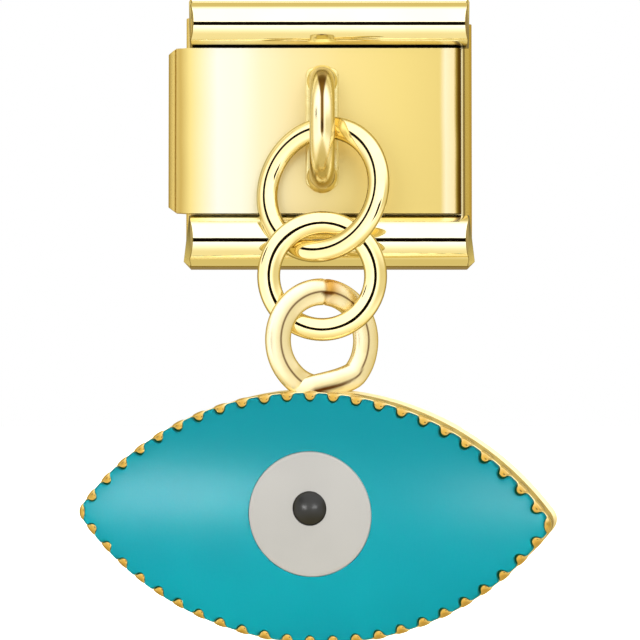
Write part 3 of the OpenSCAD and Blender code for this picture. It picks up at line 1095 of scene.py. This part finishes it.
# A circle round the white disc's middle, at one depth, or sunk a little below the dome
def circleRow(radius, lift, depth=None, sunk=0):
    row = []
    for k in range(96):
        turn = 2 * math.pi * k / 96
        x = glass["discX"] + radius * math.cos(turn)
        z = glass["discLift"] + lift + radius * math.sin(turn)
        row.append((x, -(domeDepth(x, z) - sunk if depth is None else depth), z))
    return row


# The white disc lies flush in the glass, with a fine rounded rim and a seat for the pupil
def whiteShape():
    rim = glass["disc"] - glass["rimGap"]
    seat = glass["pupil"] + 0.012
    flat = rim - glass["rims"][-1][0]
    lift = glass["pupilLift"]
    rows = [circleRow(rim, 0, charm["floor"] + glass["fit"])]
    rows += [circleRow(rim - inset, 0, None, sunk) for inset, sunk in glass["rims"]]
    for k in range(1, 13):
        share = k / 12
        rows.append(circleRow(flat * (1 - share) + seat * share, lift * share))
    rows.append(circleRow(seat - glass["fit"], lift, None, 0.02))
    rows.append(circleRow(seat - glass["fit"], lift, glass["seat"] - glass["fit"]))
    return skin(rows, capStart=True, capEnd=True)


eyeWhite = makePiece("eyeWhite", whiteShape(), "charm", ["eye_white"], whiteEnamel,
                     charmPlace)


def pupilShape():
    radius = glass["pupil"]
    lift = glass["pupilLift"]
    rise = glass["pupilRise"]
    cap = (radius * radius + rise * rise) / (2 * rise)
    widest = math.asin(radius / cap)
    rows = [circleRow(radius, lift, glass["seat"]), circleRow(radius, lift, glass["top"] - 0.06)]
    for k in range(glass["pupilSteps"]):
        turn = widest * (1 - k / glass["pupilSteps"])
        drop = glass["pupilRim"] * max(0, 1 - k / 2)
        depth = glass["top"] + rise - cap * (1 - math.cos(turn)) - drop
        rows.append(circleRow(cap * math.sin(turn), lift, depth))
    return skin(rows, capStart=True, capEnd=True)


pupil = makePiece("pupil", pupilShape(), "charm", ["pupil"], blackCabochon, charmPlace)

for piece in (enamel, eyeWhite, pupil):
    glassPieces.objects.link(piece)
tealPieces.objects.link(enamel)

# The loop's tints: a painted dark reflection line that goes once round, and painted warm shade beside the
# seam
loop = {
    "outer": 4.05,
    "wire": 0.88,
    "depth": 0.48,
    "turn": -25,
    "start": 292,
    "end": -48,
    "steps": 160,
    "startShare": 0.2,
    "startBack": 0.10,
    "startThin": 0.25,
    "endShare": 0.1,
    "endForward": 0.09,
    "sweep": [
        (0.84, -1.26), (0.55, -1.38), (0.24, -1.45), (-0.08, -1.50),
        (-0.42, -1.57), (-0.74, -1.68), (-0.95, -1.78),
    ],
    "rise": [0.10, 0.12, 0.14, 0.15, 0.12, 0.04, -0.08],
    "sweepThin": 0.02,
    "sweepShare": 0.1,
    "seam": 87,
    "seamWidth": 2.2,
    "seamDepth": 0.16,
    "around": 96,
    # The painted dark reflection line: its half width, shift, end, and how it widens below the seam and on
    # the sweep
    "lineHalf": 0.046,
    "lineShift": 0.1,
    "lineEnd": 0.85,
    "belowReach": 9,
    "belowWide": 0.3,
    "sweptWide": 0.12,
}


# The charm's loop is one bent wire: it starts behind at the bottom, goes once round, and
# its far end sweeps across in front of the start to the left foot
def loopPath():
    radius = (loop["outer"] - loop["wire"]) / 2
    first, last = math.radians(loop["start"]), math.radians(loop["end"])
    path = []
    for k in range(loop["steps"] + 1):
        share = k / loop["steps"]
        turn = first + (last - first) * share
        early = min(1, 2 * max(0, 1 - share / loop["startShare"]))
        late = max(0, share - (1 - loop["endShare"])) / loop["endShare"]
        forward = loop["endForward"] * late - loop["startBack"] * early
        thick = 1 - loop["startThin"] * early
        path.append((radius * math.cos(turn), radius * math.sin(turn), forward, thick))
    for k, (x, z) in enumerate(loop["sweep"]):
        path.append((x, z, loop["rise"][k], 1 - loop["sweepThin"] * k))
    return relaxed(path, 3)


def loopShape():
    path = loopPath()
    rows = []
    seam = []
    blush = []
    for k, (x, z, forward, thick) in enumerate(path):
        before = path[max(k - 1, 0)]
        after = path[min(k + 1, len(path) - 1)]
        ahead = Vector((after[0] - before[0], 0, after[1] - before[1])).normalized()
        outward = Vector((-ahead.z, 0, ahead.x))
        apart = (math.degrees(math.atan2(z, x)) - loop["seam"]) / loop["seamWidth"]
        notch = math.exp(-apart * apart)
        swept = max(0, k / len(path) - (1 - loop["sweepShare"])) / loop["sweepShare"]
        # The painted dark reflection line: it follows the wire's front, shifts across it on the sweep and
        # widens below the seam
        line = loop["wire"] * loop["lineShift"] * min(1, swept * 1.6)
        # Painted warm shade beside the seam notch
        warm = math.exp(-(apart + 1.5) ** 2 / 30) if apart < 0 else notch
        below = max(0, 1 - abs(apart) * loop["seamWidth"] / loop["belowReach"])
        wider = loop["sweptWide"] * max(0, min(1, swept * 4 - 2.2))
        row = []
        for u, v in ovalSection(loop["wire"], loop["depth"], loop["around"]):
            pinch = 1 - loop["seamDepth"] * notch * (1 if v < 0 else 0.2)
            row.append(Vector((x, -forward, z)) + outward * (u * pinch) + Vector((0, v * thick * pinch, 0)))
            wide = loop["lineHalf"] + (loop["belowWide"] * below if u < 0 else 0) + wider
            close = 1.3 - 1.3 * abs(u - line) / wide
            seam.append(min(1, max(0, close)) if v < 0 and swept < loop["lineEnd"] else 0)
            blush.append(warm * (1 if v < 0 and u > -0.1 else 0.4))
        rows.append(row)
    return skin(rows, capStart=True, capEnd=True), {"seam": seam, "blush": blush}


# Evens out a path's bends without moving its ends
def relaxed(path, rounds):
    for _ in range(rounds):
        inner = []
        for three in zip(path, path[1:], path[2:]):
            inner.append(tuple((a + 2 * b + c) / 4 for a, b, c in zip(*three)))
        path = [path[0]] + inner + [path[-1]]
    return path


loopLow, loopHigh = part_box("charm_loop")
loopCentre = Vector((
    (loopLow.x + loopHigh.x) / 2 / mm,
    middle("lower_ring").y,
    loopHigh.z / mm - loop["outer"] / 2,
))
loopPlace = hang(loopCentre, loop["turn"], 0)
shape, tints = loopShape()
makePiece("charmLoop", shape, "charm", ["charm_loop"], loopGold, loopPlace,
          sharp=60, tints=tints)

foot = {
    "half": (0.98, 0.35),
    "neck": (0.66, 0.22),
    "middle": -0.1,
    "bottom": -1.86,
    "height": 0.36,
    "steps": 12,
    "around": 56,
    "flare": 2.2,
    "squareness": 0.8,
    "sag": 0.05,
}


# A value raised to a power, with its sign kept
def squared(value):
    return math.copysign(abs(value) ** foot["squareness"], value)


# Solder that spreads from the loop's two feet onto the tray's edge
def footShape():
    rows = []
    for k in range(foot["steps"] + 1):
        share = k / foot["steps"]
        spread = (1 - share) ** foot["flare"]
        width, depth = [neck + (half - neck) * spread for neck, half in zip(foot["neck"], foot["half"])]
        row = []
        for i in range(foot["around"]):
            turn = 2 * math.pi * i / foot["around"]
            x = width * squared(math.cos(turn))
            sag = foot["sag"] * (x / foot["half"][0]) ** 2
            height = foot["bottom"] + foot["height"] * share - sag
            row.append((foot["middle"] + x, depth * squared(math.sin(turn)), height))
        rows.append(row)
    return skin(rows, capStart=True, capEnd=True)


makePiece("loopSolder", footShape(), "charm", ["loop_solder"], loopGold, loopPlace, sharp=60)

print("done")
